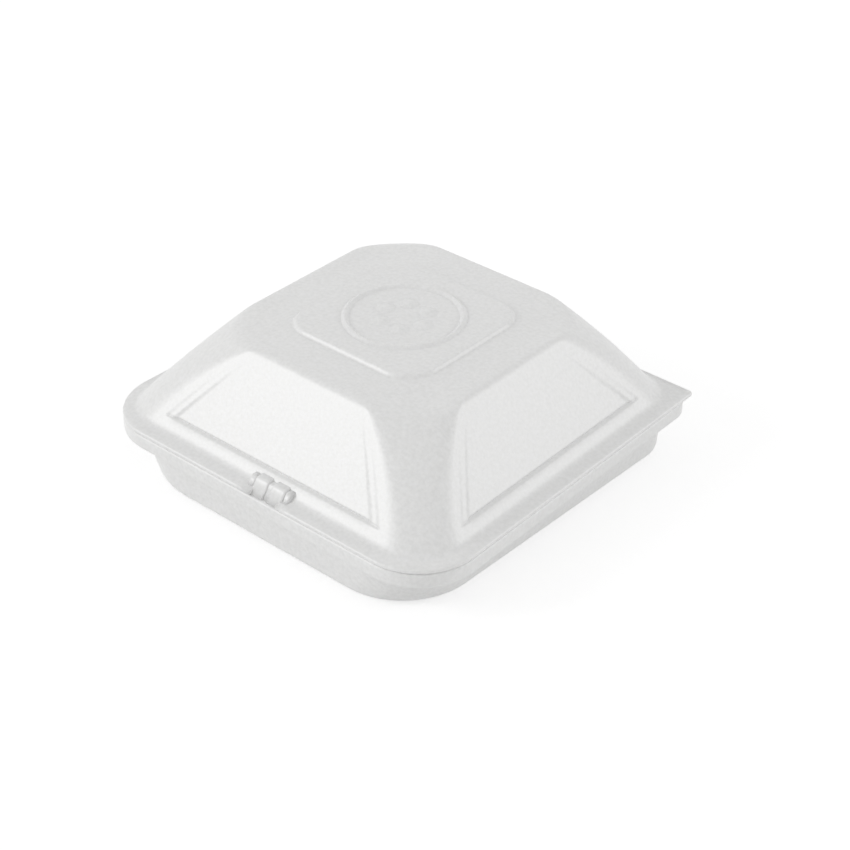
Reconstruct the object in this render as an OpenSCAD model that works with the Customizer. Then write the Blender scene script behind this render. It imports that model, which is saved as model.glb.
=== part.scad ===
// Foam clamshell container: a shallow tray with a hinged lid, drawn shut and standing on
// the tray. +Z is up, the latch faces -Y, the hinge lies along +Y and the origin is the
// middle of the resting face.

/* [Rim] */
// Width of the rim, along the latch edge
rim_width = 150; // [100:1:230]
// Depth of the rim, from the latch edge to the hinge line
rim_depth = 143; // [95:1:219]
// Narrowing of the rim towards the hinge, on each side
rim_taper = 2; // [0:0.1:4]
// Radius of the two rim corners beside the latch
rim_radius = 22; // [12:0.5:34]
// Radius of the pointed lid corners at the ends of the hinge
tip_radius = 1.4; // [0.8:0.1:3]
// Radius of the tray rim corners at the ends of the hinge
heel_radius = 9; // [5:0.5:14]
// Height of the turned-down edge of the tray rim
skirt = 5.4; // [4:0.1:8]

/* [Foam sheet] */
// Thickness of the foam sheet
sheet = 2.2; // [1.8:0.1:3.4]

/* [Tray] */
// Height of the tray, from the resting face to the rim
tray_height = 21.4; // [16:0.1:32]
// Set-back of the tray sides from the rim, at the top
side_top = 5; // [4:0.1:9]
// Set-back of the tray sides from the rim, at the bottom beside the latch
side_foot = 10; // [6:0.1:14]
// Set-back of the tray sides from the rim, at the bottom beside the hinge
side_heel = 5.8; // [5:0.1:14]
// Set-back of the tray front from the rim, at the top
front_top = 3.3; // [3.2:0.1:6]
// Set-back of the tray front from the rim, at the bottom
front_foot = 3.8; // [3.4:0.1:9]
// Set-back of the tray back from the rim, at the top
back_top = 3.4; // [3.2:0.1:6]
// Set-back of the tray back from the rim, at the bottom
back_foot = 4.6; // [4:0.1:9]
// Radius of the front tray corners at the top
tray_radius_top = 21; // [14:0.5:36]
// Radius of the front tray corners at the bottom
tray_radius_foot = 28; // [18:0.5:46]
// Radius of the back tray corners
tray_radius_back = 11; // [8:0.5:16]
// Size of the rounding between the tray walls and the floor
tray_round = 4.4; // [4:0.1:9]
// Width of the ring the tray stands on
foot_ring = 9; // [5:0.5:16]
// Height of the floor panel inside that ring
foot_rise = 1.6; // [0.8:0.1:3]

/* [Lid] */
// Height of the lid's top above the rim
lid_height = 32.8; // [22:0.1:48]
// Ledge between the rim edge and the lid wall, at the sides
side_ledge = 4.6; // [4:0.1:9]
// Ledge between the rim edge and the lid wall, at the latch
front_ledge = 5; // [4:0.1:9]
// Ledge between the hinge line and the lid wall
back_ledge = 3.5; // [3:0.1:8]
// Half the width of the lid's top
top_half = 46; // [28:0.1:72]
// Offset of the lid's top towards the hinge
top_shift = 3.1; // [0:0.1:10]
// Radius of the lid's corner posts at the latch
post_radius = 17.5; // [12:0.5:32]
// Radius of the lid's corner posts at the hinge
post_radius_back = 15.5; // [10:0.5:28]
// Radius of the corners of the lid's top
top_radius = 22; // [10:0.5:30]
// Size of the soft edge around the lid's top
shoulder = 2; // [1:0.1:12]
// Drop of the lid's top edge at its four corners
corner_drop = 1.6; // [0:0.1:4]
// Size of the fillet where the lid wall meets the rim
crease = 2.4; // [1.2:0.1:5]

/* [Lid panels] */
// Height of the side panels' lower edge above the rim
panel_sill = 6; // [4.5:0.1:10]
// Half the length of a side panel at its lower edge
panel_foot = 45; // [28:0.5:70]
// Half the length of a side panel at its upper edge
panel_head = 26; // [18:0.5:60]
// Depth of a side panel at its lower edge
panel_depth = 0.9; // [0.4:0.05:1.3]
// Half the width of the raised square on the lid's top
square_half = 30; // [18:0.5:46]
// Corner radius of the raised square
square_radius = 12; // [5:0.5:18]
// Height of the raised square
square_rise = 1.3; // [0.8:0.1:3]
// Radius of the embossed ring on the square
bead_ring = 20; // [10:0.5:32]
// Radius of the bead the ring is made of
bead = 0.9; // [0.5:0.1:1.6]
// Distance of the rosette's domes from its middle
rosette = 8.5; // [5:0.5:14]
// Radius of the rosette's domes
dome = 3.4; // [2:0.1:6]
// Height of the rosette's domes
dome_rise = 0.7; // [0.4:0.1:1.2]

/* [Latch] */
// Width of one latch lug
lug_width = 5.8; // [4:0.1:14]
// Width of the groove between the two lugs
lug_gap = 1.6; // [0.8:0.1:3]
// Depth of a lug
lug_depth = 3; // [2.2:0.1:5]
// Height of a lug above the rim
lug_height = 7.6; // [4:0.1:9]
// Offset of the latch from the middle of the rim
latch_shift = 4.9; // [-10:0.1:10]
// Room left around the lugs
lug_room = 0.5; // [0.3:0.05:1]
// Width of the rib at each end of the lug notch
rib_width = 2.2; // [1.4:0.1:6]
// Height of those ribs above the rim
rib_height = 5.6; // [4:0.1:9]

/* [Hidden] */
// Pieces, each one drawn by the module of its name
foam = [0.95, 0.95, 0.94];

half_x = rim_width/2;
half_y = rim_depth/2;
rim_z = tray_height;
overrun = sheet;
corner_steps = 10;
curve_steps = 5;
// Horizontal set-in of the lid's inner face at the rim, as a share of the sheet
inset_share = 0.5;
// Share of the lid's height over which the drop at its corners fades out
drop_share = 0.5;
// Power that softens the two ends of the drop at a corner
dip_power = 1.6;
// Share of the lid's height taken by its side panels
panel_share = 0.86;
// Share of the lid's height taken by the crease fillet
crease_share = crease/lid_height;
// Share of the lid's run taken by the soft shoulder
shoulder_share = shoulder/lid_height;

function mix(a, b, t) = a + (b - a)*t;

// A level outline is [z, half width, front y, back y, front radius, back radius, narrowing, corner drop].
function arc(cx, cy, r, start, z, drop) =
    [for (i = [0:corner_steps])
        let (turn = 90*i/corner_steps, a = start + turn,
             dip = max(0, (cos(turn - 45) - cos(45))/(1 - cos(45))))
        [cx + r*cos(a), cy + r*sin(a), z - drop*pow(dip, dip_power)]];

function outline(s) =
    let (z = s[0], x = s[1], f = s[2], b = s[3], p = s[4], q = s[5], w = x - s[6], d = s[7])
    concat(arc(x - p, f + p, p, -90, z, d), arc(w - q, b - q, q, 0, z, d),
           arc(q - w, b - q, q, 90, z, d), arc(p - x, f + p, p, 180, z, d));

// Solid bounded by a chain of level outlines, closed by a flat face at both ends.
module skin(chain) {
    count = 4*(corner_steps + 1);
    points = [for (s = chain) for (v = outline(s)) v];
    sides = [for (i = [0:len(chain) - 2]) for (j = [0:count - 1])
        let (a = i*count + j, b = i*count + (j + 1)%count)
        for (tri = [[a, b, b + count], [a, b + count, a + count]]) tri];
    first = [for (j = [count - 1:-1:0]) j];
    last = [for (j = [0:count - 1]) (len(chain) - 1)*count + j];
    polyhedron(points, concat([first], sides, [last]), convexity = 6);
}

// Outline of the rim, set in by d.
function rim(z, d, back) =
    [z, half_x - d, d - half_y, half_y - d, rim_radius - d, max(back - d, tip_radius/2), rim_taper, 0];

// Outline of the tray wall at height z, set in by d.
function wall(z, d) =
    let (t = z/tray_height)
    [z,
     half_x - mix(side_foot, side_top, t) - d,
     mix(front_foot, front_top, t) + d - half_y,
     half_y - mix(back_foot, back_top, t) - d,
     mix(tray_radius_foot, tray_radius_top, t) - d,
     max(tray_radius_back - d, sheet),
     rim_taper + (side_heel - side_foot)*(1 - t), 0];

// Rounded foot of a tray wall face that starts at height low and is set in by d.
function foot(low, d, size, steps) =
    [for (k = steps) let (u = k/curve_steps) wall(low + size*(1 - u)*(1 - u), d + size*u*u)];

up_steps = [curve_steps:-1:0];
down_steps = [0:curve_steps];

module tray_shell() {
    inner_round = tray_round - sheet/2;
    ring_edge = tray_round + foot_ring;
    skin(concat(
        [wall(foot_rise + sheet, ring_edge + sheet), wall(sheet, ring_edge + sheet - foot_rise)],
        foot(sheet, sheet, inner_round, up_steps),
        [wall(rim_z, sheet), rim(rim_z, 0, heel_radius), rim(rim_z - skirt, 0, heel_radius),
         rim(rim_z - skirt, sheet, heel_radius), rim(rim_z - sheet, sheet, heel_radius),
         wall(rim_z - sheet, 0)],
        foot(0, 0, tray_round, down_steps),
        [wall(0, ring_edge), wall(foot_rise, ring_edge + foot_rise)]));
}

module lug(x) {
    crown = lug_depth/2;
    front = lug_room - half_y;
    translate([x - lug_width/2, front, rim_z - sheet])
        cube([lug_width, lug_depth, lug_height + sheet - crown]);
    translate([x - lug_width/2, front + crown, rim_z + lug_height - crown])
        rotate([0, 90, 0])
            cylinder(h = lug_width, r = crown);
}

// Thin web that joins the two lugs and leaves a groove between them at the front.
module lug_web() {
    translate([latch_shift - lug_gap, lug_room - half_y + lug_gap/2, rim_z - sheet])
        cube([2*lug_gap, lug_depth - lug_gap/2, lug_height + sheet - lug_depth/2]);
}

module tray() {
    color(foam)
        union() {
            tray_shell();
            lug_web();
            for (side = [-1, 1]) {
                lug(latch_shift + side*(lug_width + lug_gap)/2);
            }
        }
}

// Outline of the lid wall, t = 0 at the crease and 1 at the top edge, set in by d.
function slope(z, t, d) =
    [z,
     mix(half_x - side_ledge, top_half, t) - d,
     mix(front_ledge - half_y, top_shift - top_half, t) + d,
     mix(half_y - back_ledge, top_shift + top_half, t) - d,
     mix(post_radius, top_radius, t) - d,
     mix(post_radius_back, top_radius, t) - d,
     rim_taper*(1 - t),
     corner_drop*max(0, 1 - abs(t - 1)/drop_share)];

// Curve from the lid's level top into its sloping wall.
function brow(low, high, d) =
    [for (k = down_steps) let (u = k/curve_steps, v = 1 - u)
        slope(high - (high - low)*shoulder_share*u*u, 1 + shoulder_share*(v*v - u*u), d)];

// Curve from the lid's wall into the level ledge of the rim.
function root(low, high, d) =
    [for (k = down_steps) let (u = k/curve_steps, v = 1 - u)
        slope(low + (high - low)*crease_share*v*v, crease_share*(v*v - u*u), d)];

// Outline of the raised square, set in by d.
function square_at(z, d) =
    let (h = square_half - d, r = square_radius - d)
    [z, h, top_shift - h, top_shift + h, r, r, 0, 0];

module lid_shell() {
    low = rim_z + sheet;
    high = rim_z + lid_height;
    inset = sheet*inset_share;
    skin(concat(
        [square_at(high + square_rise, square_rise), square_at(high, 0)],
        brow(low, high, 0),
        root(low, high, 0),
        [rim(low, 0, tip_radius), rim(rim_z, 0, tip_radius), slope(rim_z, 0, inset)],
        [for (k = up_steps) brow(rim_z, high - sheet, inset)[k]],
        [square_at(high - sheet, sheet), square_at(high + square_rise - sheet, sheet + square_rise)]));
}

// Shallow panel that fades out towards the lid's top. The wall it lies on runs from foot to head.
module panel(foot, head, turn) {
    rise = lid_height - sheet;
    run = foot - head;
    angle = atan2(rise, run);
    length = (rise*panel_share + sheet - panel_sill)/sin(angle);
    fade = atan2(panel_depth, length);
    rotate([0, 0, turn])
        translate([0, -foot, rim_z + sheet])
            rotate([angle, 0, 0])
                translate([0, (panel_sill - sheet)/sin(angle), -panel_depth])
                    rotate([fade, 0, 0])
                        linear_extrude(height = overrun)
                            polygon([[-panel_foot, 0], [panel_foot, 0], [panel_head, length], [-panel_head, length]]);
}

module side_panels() {
    panel(half_y - front_ledge, top_half - top_shift, 0);
    panel(half_x - side_ledge, top_half, 90);
    panel(half_y - back_ledge, top_half + top_shift, 180);
    panel(half_x - side_ledge, top_half, 270);
}

notch_half = lug_width + lug_gap/2 + lug_room;
notch_depth = lug_depth + 2*lug_room;

module lug_notch() {
    translate([latch_shift - notch_half, -half_y - overrun, rim_z - overrun])
        cube([2*notch_half, overrun + notch_depth, lug_height + overrun + lug_room]);
}

module notch_rib(x) {
    lean = rib_width;
    front = lug_room - half_y;
    back = front_ledge + 1.5*sheet - half_y;
    translate([x, 0, 0])
        rotate([90, 0, 90])
            linear_extrude(height = rib_width)
                polygon([[front, rim_z + sheet/2], [back, rim_z + sheet/2], [back, rim_z + rib_height],
                         [front + lean/2, rim_z + rib_height], [front, rim_z + rib_height - lean/2]]);
}

// Low dome standing on the raised square.
module low_dome(level) {
    ball = (dome*dome + dome_rise*dome_rise)/(2*dome_rise);
    intersection() {
        translate([0, 0, level + dome_rise - ball])
            sphere(r = ball);
        translate([0, 0, level - sheet/2])
            cylinder(h = sheet, r = dome + bead/2);
    }
}

module emboss() {
    level = rim_z + lid_height + square_rise;
    translate([0, top_shift, level])
        rotate_extrude()
            translate([bead_ring, 0])
                circle(r = bead);
    for (turn = [0:60:300]) {
        translate([0, top_shift, 0])
            rotate([0, 0, turn])
                translate([rosette, 0, 0])
                    low_dome(level);
    }
}

module lid() {
    color(foam)
        union() {
            difference() {
                lid_shell();
                side_panels();
                lug_notch();
            }
            for (x = [notch_half, -notch_half - rib_width]) {
                notch_rib(latch_shift + x);
            }
            emboss();
        }
}

tray();
lid();
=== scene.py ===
# %% [markdown]
# # A foam clamshell container
# The real box is one sheet of white polystyrene foam, pressed hot between two moulds: a shallow tray, a
# domed lid with four pressed panels, and a crease between them that works as the hinge. This lesson dresses
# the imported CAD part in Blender. The CAD solids give every size; here they become soft foam skins with
# rounded edges, a moulded latch and a grainy finish with a low sheen.

# %% Load the frame
import math
from collections import namedtuple

import bmesh
import bpy
from mathutils import Matrix, Vector


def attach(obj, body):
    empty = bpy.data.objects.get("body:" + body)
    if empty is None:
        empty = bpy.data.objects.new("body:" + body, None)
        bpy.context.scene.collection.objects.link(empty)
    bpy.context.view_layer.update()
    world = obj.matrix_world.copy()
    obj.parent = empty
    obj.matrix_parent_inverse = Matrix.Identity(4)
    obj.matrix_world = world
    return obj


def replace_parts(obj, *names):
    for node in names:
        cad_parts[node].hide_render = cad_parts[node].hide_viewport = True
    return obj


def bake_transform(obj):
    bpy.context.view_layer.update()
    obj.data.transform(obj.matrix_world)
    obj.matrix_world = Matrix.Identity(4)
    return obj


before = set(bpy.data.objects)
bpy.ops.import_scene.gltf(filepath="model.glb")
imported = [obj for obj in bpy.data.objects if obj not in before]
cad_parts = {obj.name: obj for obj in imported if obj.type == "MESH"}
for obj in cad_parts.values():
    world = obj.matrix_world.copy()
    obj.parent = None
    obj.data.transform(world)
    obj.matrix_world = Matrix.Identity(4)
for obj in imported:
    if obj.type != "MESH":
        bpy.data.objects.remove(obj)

MM = 0.001
scene = bpy.context.scene
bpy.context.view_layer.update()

# %% [markdown]
# ## The camera
# A camera matches a photograph when four things agree: the direction it looks from, its distance, its lens
# and the point in the middle of the frame. The direction is an azimuth and an elevation around the box. The
# camera's own axes are then the columns of its matrix: right, up and back, because a Blender camera looks
# along its minus Z.

# %% Place the camera
AZIMUTH, ELEVATION = math.radians(41.21), math.radians(34.2)
DISTANCE = 690.47
LENS_PIXELS, FRAME_PIXELS, SENSOR = 2000.07, 850, 36.0
AIM_RIGHT, AIM_UP = 6.71, -8.47

back = Vector((math.sin(AZIMUTH) * math.cos(ELEVATION), -math.cos(AZIMUTH) * math.cos(ELEVATION),
               math.sin(ELEVATION)))
right = Vector((math.cos(AZIMUTH), math.sin(AZIMUTH), 0))
up = back.cross(right)
rim_middle = Vector((0, 3.5, 21.4))
eye = rim_middle + right * AIM_RIGHT + up * AIM_UP + back * DISTANCE

camera = bpy.data.objects.new("camera", bpy.data.cameras.new("camera"))
scene.collection.objects.link(camera)
camera.data.sensor_width = SENSOR
camera.data.lens = LENS_PIXELS * SENSOR / FRAME_PIXELS
camera.matrix_world = Matrix.Translation(eye * MM) @ Matrix((right, up, back)).transposed().to_4x4()
scene.camera = camera
print("camera at", [round(c) for c in eye], "mm, lens", round(camera.data.lens, 1), "mm")

# %% [markdown]
# ## Levels and rings
# Every horizontal cut through the tray or the lid is a rounded rectangle, a little narrower at the hinge.
# Such a cut is called a level here. The skins could be modelled from a box with many loop cuts, but a
# pressed sheet is easier to follow as a chain of rings: one ring is drawn at the first level, extruded, and
# its corners and sides are moved to the next level, again and again, from the outer skin round the rim to
# the inner skin.

# %% A level and the places of its corners and sides
Level = namedtuple("Level", "z half front back front_radius back_radius narrowing drop", defaults=[0])
CORNER_STEPS = 14


def corner_places(level):
    """Centre and radius of the four corners, from the front right one anticlockwise."""
    far = level.half - level.narrowing
    f, b = level.front_radius, level.back_radius
    return [(Vector((level.half - f, level.front + f, level.z)), f),
            (Vector((far - b, level.back - b, level.z)), b),
            (Vector((b - far, level.back - b, level.z)), b),
            (Vector((f - level.half, level.front + f, level.z)), f)]


def group_places(level):
    """Two points for each group of a ring: corner 0, side 0, corner 1, side 1 and so on."""
    turns = [Vector((0, -1, 0)), Vector((1, 0, 0)), Vector((0, 1, 0)), Vector((-1, 0, 0))]
    corners = corner_places(level)
    places = []
    for k, (centre, radius) in enumerate(corners):
        after, after_radius = corners[(k + 1) % 4]
        leave = turns[(k + 1) % 4]
        places.append((centre, centre + Vector((radius, 0, 0))))
        places.append((centre + leave * radius, after + leave * after_radius))
    return places


# %% Draw a first ring, and grow it from level to level
def groups_of(ring, columns):
    """The ring's vertices as corner 0, side 0, corner 1, side 1 and so on."""
    sizes = [CORNER_STEPS + 1, len(columns)] * 4
    starts = [sum(sizes[:k]) for k in range(8)]
    return [ring[start:start + size] for start, size in zip(starts, sizes)]


def move_ring(bm, ring, columns, old, new):
    """Turns, scales and moves each corner and side from its place on one level to the next."""
    for group, (a, b), (c, d) in zip(groups_of(ring, columns), group_places(old), group_places(new)):
        was, now = b - a, d - c
        turn = math.atan2(now.y, now.x) - math.atan2(was.y, was.x)
        size = now.length / was.length
        bmesh.ops.transform(bm, verts=group, matrix=(
            Matrix.Translation(c) @ Matrix.Rotation(turn, 4, "Z") @ Matrix.Scale(size, 4)
            @ Matrix.Translation(-a)))


def first_ring(bm, columns, level):
    """A square face with rounded corners and its straight edges cut into columns, put at a level."""
    unit = Level(0, 1, -1, 1, 0.5, 0.5, 0)
    bmesh.ops.create_grid(bm, x_segments=1, y_segments=1, size=1)
    bmesh.ops.bevel(bm, geom=bm.verts[:], offset=0.5, offset_type="OFFSET", affect="VERTICES",
                    segments=CORNER_STEPS, profile=0.5, material=-1)
    straight = [edge for edge in bm.edges if edge.calc_length() > 0.5]
    bmesh.ops.subdivide_edges(bm, edges=straight, cuts=len(columns))
    bm.faces.ensure_lookup_table()
    ring = [loop.vert for loop in bm.faces[0].loops]
    start = min(range(len(ring)), key=lambda i: (ring[i].co - Vector((0.5, -1, 0))).length)
    ring = ring[start:] + ring[:start]
    if ring[1].co.x < ring[0].co.x:
        ring = ring[:1] + ring[:0:-1]
    for side, (a, b) in zip(groups_of(ring, columns)[1::2], group_places(unit)[1::2]):
        for vert, share in zip(side, columns):
            vert.co = a.lerp(b, share / 2 + 0.5)
    move_ring(bm, ring, columns, unit, level)
    return ring


def ring_edges(bm, ring):
    return [bm.edges.get(pair) for pair in zip(ring, ring[1:] + ring[:1])]


def next_ring(bm, ring, columns, old, new):
    """Extrudes the ring and moves the new one to its level."""
    made = bmesh.ops.extrude_edge_only(bm, edges=ring_edges(bm, ring))["geom"]
    fresh = {item for item in made if isinstance(item, bmesh.types.BMVert)}
    grown = [next(edge.other_vert(vert) for edge in vert.link_edges if edge.other_vert(vert) in fresh)
             for vert in ring]
    move_ring(bm, grown, columns, old, new)
    return grown


def mix(a, b, t):
    return a + (b - a) * t


def ease(t):
    """Goes from 0 to 1 with a soft start and a soft end."""
    t = min(max(t, 0), 1)
    return t * t * (3 - 2 * t)


# %% [markdown]
# ## The tray's levels
# The tray starts at its raised floor panel, steps down to the ring it stands on, turns up into the wall,
# out over the rim and down into a short skirt that stiffens the edge. Below the skirt the outer skin comes
# back to the wall and runs under the floor. A pressed sheet has no sharp edge anywhere, so each turn gets a
# few levels of its own.

# %% Sizes of the rim and the sheet, in millimetres as in the CAD
HALF_X, HALF_Y = 75.0, 71.5
RIM_TAPER, RIM_RADIUS, TIP_RADIUS, HEEL_RADIUS = 2.0, 22.0, 1.4, 9.0
SHEET, SKIRT, RIM_Z = 2.2, 5.4, 21.4
# How far the tray's wall is set in from the rim, at the floor and at the rim, and its corner radii
WALL_SIDE, WALL_FRONT, WALL_BACK = (10, 5), (3.8, 3.3), (4.6, 3.4)
WALL_RADIUS, WALL_HEEL, FLOOR_TAPER = (28, 21), 11, 4.2
TURN = [k / 8 for k in range(9)]


def rim(z, inset, back_radius):
    """The rim's outline, set in."""
    return Level(z, HALF_X - inset, inset - HALF_Y, HALF_Y - inset, RIM_RADIUS - inset,
                 max(back_radius - inset, TIP_RADIUS / 2), RIM_TAPER)


def tray_wall(z, inset):
    """The tray wall's outline at a height, set in."""
    t = z / RIM_Z
    return Level(z, HALF_X - mix(*WALL_SIDE, t) - inset, mix(*WALL_FRONT, t) + inset - HALF_Y,
                 HALF_Y - mix(*WALL_BACK, t) - inset, mix(*WALL_RADIUS, t) - inset,
                 max(WALL_HEEL - inset, SHEET), RIM_TAPER - FLOOR_TAPER * (1 - t))


def tray_foot(low, inset, size, steps):
    """The rounding between the floor and the wall."""
    return [tray_wall(low + size * (1 - u) ** 2, inset + size * u * u) for u in steps]


def edge_round(outline, z, inset, size, turns):
    """A quarter round at an edge: turns are angles, 0 is level with z and 90 is upright."""
    return [outline(z + size * math.sin(math.radians(a)), inset - size * math.cos(math.radians(a)))
            for a in turns]


# %% The tray's chain of levels
def tray_rim(z, inset):
    return rim(z, inset, HEEL_RADIUS)


FOOT_ROUND, FOOT_RING, FOOT_RISE, FOOT_STEP = 4.4, 9.0, 1.6, 2.4
MOUTH_ROUND, RIM_ROUND, RIM_FLAT = 0.9, 1.1, 1.5
SKIRT_ROUND, SKIRT_MIDDLE, SKIRT_LOW = 0.9, 1.3, RIM_Z - SKIRT
GROOVE_DROP, GROOVE_IN, NECK_DROP, NECK_OUT = 0.5, 0.4, 0.6, 0.5
INNER_HEIGHTS, OUTER_HEIGHTS = (9, 12, 15, 18, 19.6), (17, 14, 11, 8, 5)
SKIRT_HEIGHTS, GROOVE_HEIGHTS = (19.6, 18.6, 17.6), (17.4, 18.2)
FLOOR_EDGE_TOP, FLOOR_EDGE_UNDER, RING_FLAT = 4, 5, 1.5
ring_edge = FOOT_ROUND + FOOT_RING
inner_round = FOOT_ROUND - SHEET / 2
inner_edge = ring_edge + SHEET - FOOT_RISE
step_in = [tray_wall(SHEET + FOOT_RISE * ease(u), inner_edge + FOOT_STEP * u) for u in TURN[::-1]]
step_out = [tray_wall(FOOT_RISE * ease(u), ring_edge + FOOT_STEP * u) for u in TURN]
up_round, down_round = list(range(90, -1, -15)), list(range(0, -91, -15))


def skirt_inside(z, inset):
    """The skirt's inner face, as the mirror of its outer face about the skirt's middle."""
    return tray_rim(z, 2 * SKIRT_MIDDLE - inset)


tray_levels = (
    [tray_wall(FOOT_RISE + SHEET, ring_edge + SHEET + FLOOR_EDGE_TOP)] + step_in
    + tray_foot(SHEET, SHEET, inner_round, TURN[::-1])
    + [tray_wall(z, SHEET) for z in INNER_HEIGHTS]
    + [tray_wall(RIM_Z - MOUTH_ROUND * (1 - u) ** 2, SHEET - MOUTH_ROUND * u * u) for u in TURN]
    + [tray_rim(RIM_Z, RIM_FLAT)]
    + edge_round(tray_rim, RIM_Z - RIM_ROUND, RIM_ROUND, RIM_ROUND, up_round)
    + [tray_rim(z, 0) for z in SKIRT_HEIGHTS]
    + edge_round(tray_rim, SKIRT_LOW + SKIRT_ROUND, SKIRT_ROUND, SKIRT_ROUND, down_round)
    + edge_round(skirt_inside, SKIRT_LOW + SKIRT_ROUND, SKIRT_MIDDLE, SKIRT_ROUND, down_round[::-1])
    + [tray_rim(z, SHEET) for z in GROOVE_HEIGHTS]
    + [tray_rim(RIM_Z - SHEET - GROOVE_DROP * (1 - u) ** 2, SHEET + GROOVE_IN * u * u) for u in TURN[::2]]
    + [tray_wall(RIM_Z - SHEET - NECK_DROP * u * u, -NECK_OUT * (1 - u) ** 2) for u in TURN[::2]]
    + [tray_wall(z, 0) for z in OUTER_HEIGHTS]
    + tray_foot(0, 0, FOOT_ROUND, TURN) + [tray_wall(0, ring_edge - RING_FLAT)] + step_out
    + [tray_wall(FOOT_RISE, ring_edge + FLOOR_EDGE_UNDER)])
print("tray levels:", len(tray_levels))

# %% Loft the tray
EVEN_COLUMNS = [k / 8 for k in range(-7, 8)]


def loft(bm, levels, columns, shape=None):
    """A closed skin through the levels; shape may push parts of a ring after it is placed."""
    ring = first_ring(bm, columns, levels[0])
    rings = [ring]
    for old, new in zip(levels, levels[1:]):
        ring = next_ring(bm, ring, columns, old, new)
        rings.append(ring)
    bmesh.ops.contextual_create(bm, geom=ring_edges(bm, ring))
    if shape:
        for index, ring in enumerate(rings):
            shape(bm, ring, index)
    bmesh.ops.recalc_face_normals(bm, faces=bm.faces[:])


tray_mesh = bmesh.new()
loft(tray_mesh, tray_levels, EVEN_COLUMNS)
print("tray skin:", len(tray_mesh.faces), "faces")

# %% [markdown]
# ## The latch lugs
# Two soft lugs stand on the front of the tray's rim, fill a notch in the lid and lean back on the foot of
# its wall, with a lower block between them. Each is a cube with its upright edges and its top bevelled,
# sheared so that it leans. The top's round is the smaller one, because a bevel that is wider than the round
# it meets folds over itself. The blocks start below the rim's surface, so that they read as one with the
# tray.

# %% A soft block
BLOCK_STEPS, SAME_HEIGHT = 5, 1e-6


def bevel_edges(bm, edges, size):
    """Rounds edges and gives the vertices of the new faces."""
    made = bmesh.ops.bevel(bm, geom=edges, offset=size, offset_type="OFFSET", affect="EDGES",
                           segments=BLOCK_STEPS, profile=0.5, material=-1)
    return {vert for face in made["faces"] for vert in face.verts}


def soft_block(bm, low, high, upright_round, top_round, lean):
    """A block with rounded upright edges and a rounded top, which leans back."""
    low, high = Vector(low), Vector(high)
    shear = Matrix.Identity(4)
    shear[1][2] = lean
    made = bmesh.ops.create_cube(bm, size=1)["verts"]
    bmesh.ops.scale(bm, verts=made, vec=high - low)
    bmesh.ops.translate(bm, verts=made, vec=(low + high) / 2)
    edges = {edge for vert in made for edge in vert.link_edges}
    upright = [edge for edge in edges if abs(edge.verts[0].co.z - edge.verts[1].co.z) > SAME_HEIGHT]
    verts = bevel_edges(bm, upright, upright_round)
    top = {edge for vert in verts for edge in vert.link_edges
           if all(abs(end.co.z - high.z) < SAME_HEIGHT for end in edge.verts)}
    rounded = bevel_edges(bm, list(top), top_round)
    verts = rounded | {vert for vert in verts if vert.is_valid}
    bmesh.ops.transform(bm, verts=list(verts), matrix=(
        Matrix.Translation(low) @ shear @ Matrix.Translation(-low)))


# %% Add the lugs
LATCH_X, LUG_WIDTH, LUG_GAP, LEAN = 4.9, 5.8, 1.6, 0.72
LUG_LOW, LUG_TOP, LUG_ROUNDS = RIM_Z - 1, RIM_Z + 5.2, (0.75, 0.7)
LUG_FRONT, LUG_BACK = 0.2 - HALF_Y, 4.1 - HALF_Y
BRIDGE_FRONT, BRIDGE_BACK, BRIDGE_TOP = LUG_FRONT + 0.6, LUG_BACK - 0.3, LUG_TOP - 0.6
BRIDGE_ROUNDS = (0.35, 0.3)
for side in (-1, 1):
    x = LATCH_X + side * (LUG_WIDTH + LUG_GAP) / 2
    soft_block(tray_mesh, (x - LUG_WIDTH / 2, LUG_FRONT, LUG_LOW), (x + LUG_WIDTH / 2, LUG_BACK, LUG_TOP),
               *LUG_ROUNDS, LEAN)
soft_block(tray_mesh, (LATCH_X - LUG_GAP, BRIDGE_FRONT, LUG_LOW),
           (LATCH_X + LUG_GAP, BRIDGE_BACK, BRIDGE_TOP), *BRIDGE_ROUNDS, LEAN)
print("tray with lugs:", len(tray_mesh.faces), "faces")

# %% [markdown]
# ## The lid's levels
# The lid is lofted the same way, from the raised square on its top out over the plateau, round the
# shoulder, down the sloping wall, out into the ledge and round the rim's edge to the inner skin. The corner
# posts are slimmest below the middle of the wall. The four panels and the lug notch are pressed afterwards,
# by moving the parts of the rings that cross them. So the columns of the rings crowd together where a panel
# or the notch ends.

# %% Sizes of the lid
LID_HEIGHT, TOP_HALF, TOP_SHIFT = 32.8, 46.0, 3.1
SIDE_LEDGE, FRONT_LEDGE, BACK_LEDGE = 4.6, 5.0, 3.5
FOOT_RADIUS, FOOT_RADIUS_BACK, POST_RADIUS, TOP_RADIUS = 17.5, 15.5, 14.6, 22.0
FOOT_POWER, TOP_POWER = 8, 4
CORNER_DROP, DROP_SHARE = 1.6, 0.5
SQUARE_HALF, SQUARE_RADIUS, SQUARE_RISE = 30.0, 12.0, 1.3
SQUARE_SPREAD, SQUARE_STEP, SQUARE_FIELD = 0.2, 1.6, 4
CREASE_SHARE, SHOULDER_SHARE = 2.2 / LID_HEIGHT, 2 / LID_HEIGHT
LOW, HIGH = RIM_Z + SHEET, RIM_Z + LID_HEIGHT


def post_radius(t, foot):
    """A corner's radius up the wall: a slim post that widens at its foot and towards the top."""
    return (POST_RADIUS + (foot - POST_RADIUS) * (1 - t) ** FOOT_POWER
            + (TOP_RADIUS - POST_RADIUS) * t ** TOP_POWER)


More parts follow.
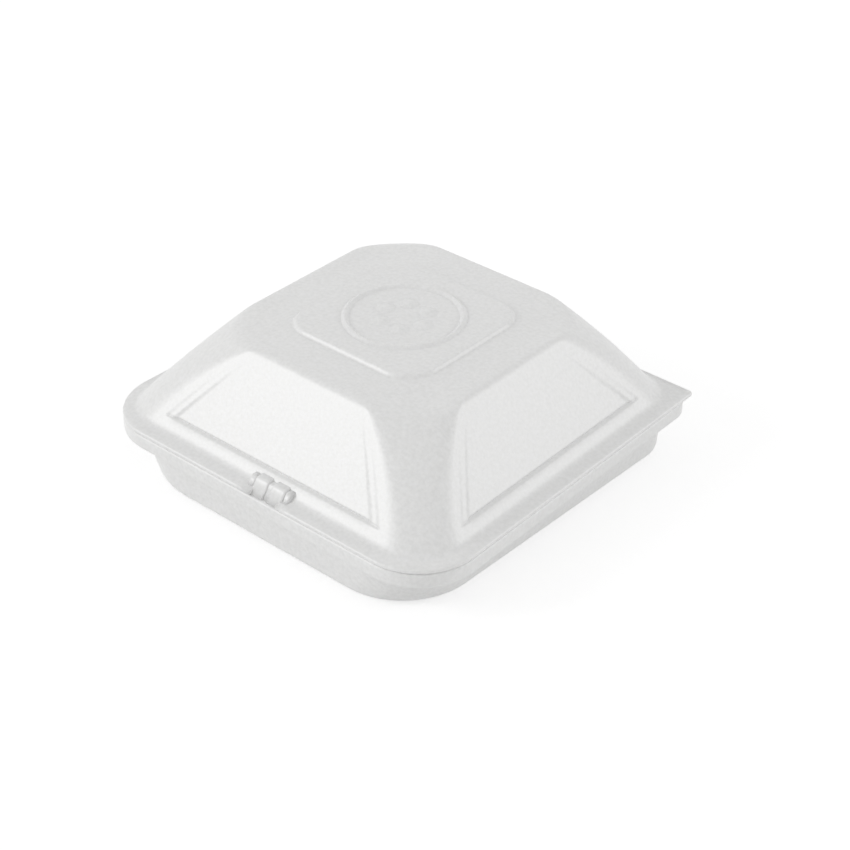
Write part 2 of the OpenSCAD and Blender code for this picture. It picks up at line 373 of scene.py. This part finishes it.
def slope(z, t, inset):
    """The lid wall's outline: t is 0 at the crease and 1 at the top edge."""
    return Level(z, mix(HALF_X - SIDE_LEDGE, TOP_HALF, t) - inset,
                 mix(FRONT_LEDGE - HALF_Y, TOP_SHIFT - TOP_HALF, t) + inset,
                 mix(HALF_Y - BACK_LEDGE, TOP_SHIFT + TOP_HALF, t) - inset,
                 post_radius(t, FOOT_RADIUS) - inset, post_radius(t, FOOT_RADIUS_BACK) - inset,
                 RIM_TAPER * (1 - t), CORNER_DROP * max(0, 1 - abs(t - 1) / DROP_SHARE))


def straight_wall(low, high, t, inset):
    return slope(mix(low, high, t), t, inset)


def shoulder(low, high, inset, steps):
    """The curve from the level top into the sloping wall."""
    return [slope(high - (high - low) * SHOULDER_SHARE * u * u,
                  1 + SHOULDER_SHARE * ((1 - u) ** 2 - u * u), inset) for u in steps]


def crease(low, high, inset, steps):
    """The curve from the sloping wall into the level ledge."""
    return [slope(low + (high - low) * CREASE_SHARE * (1 - u) ** 2,
                  CREASE_SHARE * ((1 - u) ** 2 - u * u), inset) for u in steps]


def raised_square(z, inset):
    half, radius = SQUARE_HALF - inset, SQUARE_RADIUS - inset
    return Level(z, half, TOP_SHIFT - half, TOP_SHIFT + half, radius, radius, 0)


# %% The lid's chain of levels
def lid_rim(z, inset):
    return rim(z, inset, TIP_RADIUS)


INNER, INNER_CREASE = SHEET / 2, ((0, -0.05), (0.4, 0), (1.6, 0.045))
PLATEAU_SHARE, LEDGE_DROP, LEDGE_INSET, LID_ROUND = 1.25, 0.35, 2.3, 0.9
SILL_LOW, SILL_HIGH = 0.127, 0.143
UNDER = HIGH - SHEET
sill_shares = [mix(SILL_HIGH, SILL_LOW, k / 5) for k in range(6)]
wall_shares = [0.92, 0.885, 0.86, 0.82, 0.76, 0.68, 0.6, 0.5, 0.4, 0.3, 0.22, 0.165, 0.151] + sill_shares
square_step = [raised_square(HIGH + SQUARE_RISE * ease(u), -SQUARE_SPREAD + SQUARE_STEP * u)
               for u in TURN[::-1]]
square_under = [raised_square(UNDER + SQUARE_RISE * ease(u), SHEET - SQUARE_SPREAD + SQUARE_STEP * u)
                for u in TURN]
outer_levels = (
    [raised_square(HIGH + SQUARE_RISE, SQUARE_FIELD)] + square_step + [slope(HIGH, PLATEAU_SHARE, 0)]
    + shoulder(LOW, HIGH, 0, TURN) + [straight_wall(LOW, HIGH, t, 0) for t in wall_shares]
    + crease(LOW, HIGH, 0, TURN) + [lid_rim(LOW - LEDGE_DROP, LEDGE_INSET)]
    + edge_round(lid_rim, RIM_Z + LID_ROUND, LID_ROUND, LID_ROUND, up_round[2:])
    + edge_round(lid_rim, RIM_Z + LID_ROUND, LID_ROUND, LID_ROUND, down_round[1:]))
inner_levels = (
    [slope(RIM_Z + rise, t, INNER) for rise, t in INNER_CREASE]
    + [straight_wall(RIM_Z, UNDER, t, INNER) for t in wall_shares[::-1]]
    + shoulder(RIM_Z, UNDER, INNER, TURN[::-1])
    + square_under + [raised_square(UNDER + SQUARE_RISE, SHEET + SQUARE_FIELD)])
lid_levels = outer_levels + inner_levels
print("lid levels:", len(lid_levels))

# %% Columns that crowd at the panel ends and at the notch
NOTCH_LOW = LATCH_X - LUG_WIDTH - LUG_GAP / 2
NOTCH_HIGH = LATCH_X + LUG_WIDTH + LUG_GAP / 2
NOTCH_DEPTH, NOTCH_EDGE, NOTCH_LAP = 4.2, 0.006, 0.8
MIDDLE_SHARES = [-0.6, -0.45, -0.3, -0.15, 0.05, 0.1, 0.15, 0.3, 0.45, 0.6]
END_START, END_PITCH, END_COUNT = 0.76, 0.0085, 28
rim_straight = HALF_X - RIM_RADIUS
notch_shares = [(NOTCH_LOW + NOTCH_LAP) / rim_straight, (NOTCH_HIGH - NOTCH_LAP) / rim_straight]
end_shares = [END_START + END_PITCH * k for k in range(END_COUNT)]
lid_columns = sorted(
    MIDDLE_SHARES
    + [side * share for side in (-1, 1) for share in end_shares]
    + [share + d * NOTCH_EDGE for share in notch_shares for d in (-1, -0.4, 0.4, 1)])
print("columns on a side:", len(lid_columns))

# %% [markdown]
# ## The pressed panels and the notch
# Each side wall has a shallow panel. Its sill is a small step with a scored line, its two ends are straight
# and go down in two soft steps, and towards the top it runs out into the wall. A mould presses such a panel
# straight in, so the vertices inside it are moved level inwards, on the outer and the inner skin alike, and
# the sheet keeps its thickness. In the notch the rim's edge is pushed back to the foot of the wall.

# %% Press the panels, the corners and the notch
PANEL_DEPTH, PANEL_TOP, SCORE, SCORE_SHARE = 0.8, 0.95, 0.4, 0.008
END_EDGE, END_STEP, FIRST_STEP, DIP_POWER = 1.0, 3.4, 0.65, 1.6
FRONT_ENDS = ((-44.5, -24.2), (44.5, 24.2))
SIDE_ENDS = ((-41.5, -21.2), (45.5, 24.7))
PANEL_ENDS = [SIDE_ENDS, FRONT_ENDS, SIDE_ENDS, FRONT_ENDS]
INWARD = [Vector((-1, 0, 0)), Vector((0, -1, 0)), Vector((1, 0, 0)), Vector((0, 1, 0))]


def panel_press(t):
    """Depth of a panel up the wall: a scored step at the sill, and nothing at the top."""
    step = ease((t - SILL_LOW) / (SILL_HIGH - SILL_LOW))
    score = SCORE * max(0, 1 - abs(t - SILL_HIGH) / SCORE_SHARE)
    run_out = max(0, (PANEL_TOP - t) / (PANEL_TOP - SILL_HIGH))
    return step * (PANEL_DEPTH * run_out + score)


def panel_width(t, along, ends):
    """Share of the depth at a place along a wall: two soft steps, one after the other, at each end."""
    rise = (t - SILL_HIGH) / (PANEL_TOP - SILL_HIGH)
    low, high = (mix(foot, head, rise) for foot, head in ends)
    reach = min(along - low, high - along)
    steps = [ease((far + END_EDGE) / (2 * END_EDGE)) for far in (reach, reach + END_STEP)]
    return mix(steps[1], steps[0], FIRST_STEP)


def corner_dip(index):
    """How far a corner's top slopes down round its turn: 0 at its ends and 1 in its middle."""
    turn, least = math.radians(90 * index / CORNER_STEPS - 45), math.cos(math.pi / 4)
    return max(0, (math.cos(turn) - least) / (1 - least)) ** DIP_POWER


def press_lid(bm, ring, index):
    """Lowers a ring's corners, and presses its sides in where the panels and the notch are."""
    level = lid_levels[index]
    low, high = (LOW, HIGH) if index < len(outer_levels) else (RIM_Z, UNDER)
    groups = groups_of(ring, lid_columns)
    for corner in groups[0::2]:
        for k, vert in enumerate(corner):
            vert.co.z -= level.drop * corner_dip(k)
    t = (level.z - low) / (high - low) if level.half > TOP_HALF else 1
    for side, inward, ends in zip(groups[1::2], INWARD, PANEL_ENDS):
        for vert in side:
            along = vert.co.y if inward.x else vert.co.x
            vert.co += inward * panel_press(t) * panel_width(t, along, ends)
    push = max(NOTCH_DEPTH - HALF_Y - level.front, 0)
    for vert, share in zip(groups[7], lid_columns):
        vert.co.y += push * min(ease((share - notch_shares[0] + NOTCH_EDGE) / (2 * NOTCH_EDGE)),
                                ease((notch_shares[1] + NOTCH_EDGE - share) / (2 * NOTCH_EDGE)))


lid_mesh = bmesh.new()
loft(lid_mesh, lid_levels, lid_columns, press_lid)
print("lid skin:", len(lid_mesh.faces), "faces")

# %% [markdown]
# ## Ribs and emboss
# A short rib stands at each end of the notch, leans on the wall as the lugs do and stiffens the rim there.
# On the raised square sits a plain ring with a rosette of six low domes. A profile that is spun round an
# upright axis gives both: a soft wave for the ring and half a wave for a dome. Both run out level with the
# square, so they look pressed from the same sheet.

# %% Add the ribs
RIB_WIDTH, RIB_LOW, RIB_TOP, RIB_ROUNDS = 2.2, RIM_Z + SHEET / 2, RIM_Z + 4.7, (0.65, 0.6)
RIB_FRONT, RIB_BACK = 2 - HALF_Y, 6 - HALF_Y
for x in (NOTCH_LOW - RIB_WIDTH, NOTCH_HIGH):
    soft_block(lid_mesh, (x, RIB_FRONT, RIB_LOW), (x + RIB_WIDTH, RIB_BACK, RIB_TOP), *RIB_ROUNDS, LEAN)
print("lid with ribs:", len(lid_mesh.faces), "faces")


# %% Spin the ring and the domes
def spun_wave(bm, centre, start, end, wave, steps, around):
    """Spins a profile of heights, from one radius to another, round an upright axis."""
    profile = [Vector((mix(start, end, k / steps), 0, wave(k / steps))) for k in range(steps + 1)]
    verts = [bm.verts.new(centre + point) for point in profile]
    edges = [bm.edges.new(pair) for pair in zip(verts, verts[1:])]
    bmesh.ops.spin(bm, geom=verts + edges, cent=centre, axis=(0, 0, 1), angle=math.tau, steps=around,
                   use_merge=True)


def ring_wave(t):
    return RING_HEIGHT * math.sin(math.pi * t) ** 2


def dome_wave(t):
    return DOME_HEIGHT * math.cos(math.pi * t / 2) ** DOME_POWER


SINK, MERGE = 0.03, 0.001
RING_INSIDE, RING_OUTSIDE, RING_HEIGHT = 18.4, 21.6, 0.95
RING_STEPS, RING_AROUND = 12, 96
DOME_COUNT, DOME_TURN, DOME_SPREAD = 6, 60, 8.5
DOME_RADIUS, DOME_HEIGHT, DOME_POWER = 3.6, 0.9, 1.2
DOME_STEPS, DOME_AROUND = 8, 32
square_top = Vector((0, TOP_SHIFT, HIGH + SQUARE_RISE - SINK))
emboss = bmesh.new()
spun_wave(emboss, square_top, RING_INSIDE, RING_OUTSIDE, ring_wave, RING_STEPS, RING_AROUND)
for k in range(DOME_COUNT):
    turn = math.radians(DOME_TURN * k)
    middle = square_top + Vector((DOME_SPREAD * math.cos(turn), DOME_SPREAD * math.sin(turn), 0))
    spun_wave(emboss, middle, 0.0, DOME_RADIUS, dome_wave, DOME_STEPS, DOME_AROUND)
bmesh.ops.remove_doubles(emboss, verts=emboss.verts[:], dist=MERGE)
for face in emboss.faces:
    face.normal_update()
    if face.normal.z < 0:
        face.normal_flip()
print("emboss:", len(emboss.faces), "faces")

# %% [markdown]
# ## The foam finish
# Foam skin is white with a low sheen, a fine grain where the cells show through and a slow unevenness from
# the press. An even white would look like plaster. So the material mixes two whites by a noise, which also
# makes the sheen uneven, and two bumps add small round cells and a slower wave. All patterns read Object
# coordinates in metres: a scale of 950 gives cells of about a millimetre.

# %% Make the foam material
def foam_material(name):
    """White foam: mottled colour and sheen, small cells and a slow press wave."""
    material = bpy.data.materials.new(name)
    material.use_nodes = True
    nodes, links = material.node_tree.nodes, material.node_tree.links
    shader = nodes["Principled BSDF"]
    shader.inputs["Specular IOR Level"].default_value = 0.8
    shader.inputs["Subsurface Weight"].default_value = 0.12
    shader.inputs["Subsurface Radius"].default_value = (0.0015, 0.0015, 0.0014)
    shader.inputs["Subsurface Scale"].default_value = 1.0
    place = nodes.new("ShaderNodeTexCoord")

    mottle = nodes.new("ShaderNodeTexNoise")
    mottle.inputs["Scale"].default_value = 760
    mottle.inputs["Detail"].default_value = 3
    links.new(place.outputs["Object"], mottle.inputs["Vector"])
    whites = nodes.new("ShaderNodeValToRGB")
    whites.color_ramp.elements[0].position = 0.3
    whites.color_ramp.elements[0].color = (0.775, 0.775, 0.768, 1)
    whites.color_ramp.elements[1].position = 0.7
    whites.color_ramp.elements[1].color = (0.845, 0.845, 0.84, 1)
    links.new(mottle.outputs["Fac"], whites.inputs["Fac"])
    links.new(whites.outputs["Color"], shader.inputs["Base Color"])

    skin = nodes.new("ShaderNodeMapRange")
    skin.inputs["To Min"].default_value = 0.32
    skin.inputs["To Max"].default_value = 0.42
    links.new(mottle.outputs["Fac"], skin.inputs["Value"])
    links.new(skin.outputs["Result"], shader.inputs["Roughness"])

    cells = nodes.new("ShaderNodeTexVoronoi")
    cells.feature = "SMOOTH_F1"
    cells.inputs["Scale"].default_value = 950
    links.new(place.outputs["Object"], cells.inputs["Vector"])
    press = nodes.new("ShaderNodeTexNoise")
    press.inputs["Scale"].default_value = 70
    links.new(place.outputs["Object"], press.inputs["Vector"])
    slow = nodes.new("ShaderNodeBump")
    slow.inputs["Strength"].default_value = 0.12
    slow.inputs["Distance"].default_value = 0.0006
    links.new(press.outputs["Fac"], slow.inputs["Height"])
    fine = nodes.new("ShaderNodeBump")
    fine.inputs["Strength"].default_value = 0.2
    fine.inputs["Distance"].default_value = 0.00015
    fine.invert = True
    links.new(cells.outputs["Distance"], fine.inputs["Height"])
    links.new(slow.outputs["Normal"], fine.inputs["Normal"])
    links.new(fine.outputs["Normal"], shader.inputs["Normal"])
    return material


foam = foam_material("foam_skin")
print("material:", foam.name, len(foam.node_tree.nodes), "nodes")


# %% Turn the meshes into pieces
def foam_piece(name, bm):
    """An object with smooth shading and the foam finish; millimetres become metres here."""
    bmesh.ops.scale(bm, verts=bm.verts[:], vec=(MM, MM, MM))
    mesh = bpy.data.meshes.new(name)
    bm.to_mesh(mesh)
    bm.free()
    mesh.shade_smooth()
    mesh.materials.append(foam)
    piece = bpy.data.objects.new(name, mesh)
    scene.collection.objects.link(piece)
    print(name, len(mesh.polygons), "faces", [round(c / MM, 1) for c in piece.dimensions])
    return piece


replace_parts(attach(foam_piece("tray_skin", tray_mesh), "tray"), "tray")
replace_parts(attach(foam_piece("lid_skin", lid_mesh), "lid"), "lid")
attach(foam_piece("lid_emboss", emboss), "lid")

# %% [markdown]
# ## The hinge crease
# At the back the sheet is squeezed to a thin web, which bends on the real box. On the shut box it shows as
# a soft bead between the two rims. An edge spun part of the way round an axis along the crease gives that
# bead, its ends are drawn in towards the axis, and solidify gives it the web's thickness. It is made for
# the shut box only and is attached to neither the tray nor the lid.

# %% Add the hinge web
WEB_HALF, WEB_TURN, WEB_RADIUS = 64.0, math.radians(150), 1.15
WEB_SET_IN, WEB_THICKNESS, WEB_TAPER, WEB_TIP = 0.75, 0.45, 6, 0.4
WEB_CUTS, WEB_STEPS = 63, 14
web_mesh = bmesh.new()
axis = Vector((0, HALF_Y - WEB_SET_IN, RIM_Z))
first = axis + Matrix.Rotation(-WEB_TURN / 2, 3, "X") @ Vector((0, WEB_RADIUS, 0))
ends = [web_mesh.verts.new((x, first.y, first.z)) for x in (-WEB_HALF, WEB_HALF)]
fold = web_mesh.edges.new(ends)
bmesh.ops.subdivide_edges(web_mesh, edges=[fold], cuts=WEB_CUTS)
bmesh.ops.spin(web_mesh, geom=web_mesh.verts[:] + web_mesh.edges[:], cent=axis, axis=(1, 0, 0),
               angle=WEB_TURN, steps=WEB_STEPS)
for vert in web_mesh.verts:
    full = ease((WEB_HALF - abs(vert.co.x)) / WEB_TAPER)
    vert.co.yz = axis.yz.lerp(vert.co.yz, mix(WEB_TIP, 1, full))
bmesh.ops.recalc_face_normals(web_mesh, faces=web_mesh.faces[:])
bmesh.ops.solidify(web_mesh, geom=web_mesh.faces[:], thickness=WEB_THICKNESS)
web = foam_piece("hinge_web", web_mesh)
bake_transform(web)

# %% [markdown]
# ## Floor, light and finish
# Most of the light comes from all round, as in a light tent, so every side of the foam is about equally
# grey. Two soft lamps stand where the camera sees them mirrored in a wall: one at the front left for the
# front wall and a weaker one at the back right for the right wall. They give those flat walls a sheen, and
# the round posts between them none. The floor is diffuse and white. Where it is looked at directly it is
# part diffuse and part lifted, so that it stays white and keeps a soft shadow.

# %% Lay the floor
FLOOR_HALF, FLOOR_WHITE, FLOOR_SEEN, FLOOR_LIFT = 4, 0.92, 0.5, 0.63
floor_mesh = bmesh.new()
bmesh.ops.create_grid(floor_mesh, x_segments=1, y_segments=1, size=FLOOR_HALF)
floor_data = bpy.data.meshes.new("floor")
floor_mesh.to_mesh(floor_data)
floor_mesh.free()
floor = bpy.data.objects.new("floor", floor_data)
scene.collection.objects.link(floor)


def seen_directly(nodes, links):
    """1 where the camera, a reflection or glass looks straight at the surface."""
    path = nodes.new("ShaderNodeLightPath")
    seen = path.outputs["Is Camera Ray"]
    for kind in ("Is Glossy Ray", "Is Transmission Ray"):
        either = nodes.new("ShaderNodeMath")
        either.operation = "MAXIMUM"
        links.new(seen, either.inputs[0])
        links.new(path.outputs[kind], either.inputs[1])
        seen = either.outputs[0]
    return seen


floor_material = bpy.data.materials.new("floor_white")
floor_material.use_nodes = True
nodes, links = floor_material.node_tree.nodes, floor_material.node_tree.links
nodes.remove(nodes["Principled BSDF"])
matte, glow, add = (nodes.new("ShaderNode" + kind) for kind in ("BsdfDiffuse", "Emission", "AddShader"))
seen = seen_directly(nodes, links)
white = nodes.new("ShaderNodeMapRange")
white.inputs["To Min"].default_value = FLOOR_WHITE
white.inputs["To Max"].default_value = FLOOR_SEEN
links.new(seen, white.inputs["Value"])
links.new(white.outputs["Result"], matte.inputs["Color"])
lift = nodes.new("ShaderNodeMath")
lift.operation = "MULTIPLY"
lift.inputs[1].default_value = FLOOR_LIFT
links.new(seen, lift.inputs[0])
links.new(lift.outputs[0], glow.inputs["Strength"])
links.new(matte.outputs[0], add.inputs[0])
links.new(glow.outputs[0], add.inputs[1])
links.new(add.outputs[0], nodes["Material Output"].inputs["Surface"])
floor_data.materials.append(floor_material)
print("floor:", floor_material.name, len(nodes), "nodes")

# %% Set the lights
EVEN_LIGHT, LAMP_DISTANCE, LAMP_SIZE = 0.665, 2.4, 0.8
KEY_DIRECTION, KEY_POWER = (-0.545, -0.696, 0.456), 14.5
FILL_DIRECTION, FILL_POWER = (0.676, 0.622, 0.381), 8.6
world = bpy.data.worlds.new("studio")
scene.world = world
world.use_nodes = True
nodes, links = world.node_tree.nodes, world.node_tree.links
sky = nodes["Background"]
sky.inputs["Color"].default_value = (1, 1, 1, 1)
level = nodes.new("ShaderNodeMapRange")
level.inputs["To Min"].default_value = EVEN_LIGHT
level.inputs["To Max"].default_value = 1.0
links.new(seen_directly(nodes, links), level.inputs["Value"])
links.new(level.outputs["Result"], sky.inputs["Strength"])


def soft_lamp(name, direction, power):
    """A square lamp that shines on the box from a direction."""
    lamp = bpy.data.objects.new(name, bpy.data.lights.new(name, "AREA"))
    lamp.data.size = LAMP_SIZE
    lamp.data.energy = power
    towards = Vector(direction).normalized()
    lamp.location = rim_middle * MM + towards * LAMP_DISTANCE
    lamp.rotation_euler = towards.to_track_quat("Z", "Y").to_euler()
    scene.collection.objects.link(lamp)


soft_lamp("key_front_left", KEY_DIRECTION, KEY_POWER)
soft_lamp("fill_right", FILL_DIRECTION, FILL_POWER)
scene.view_settings.view_transform = "Standard"
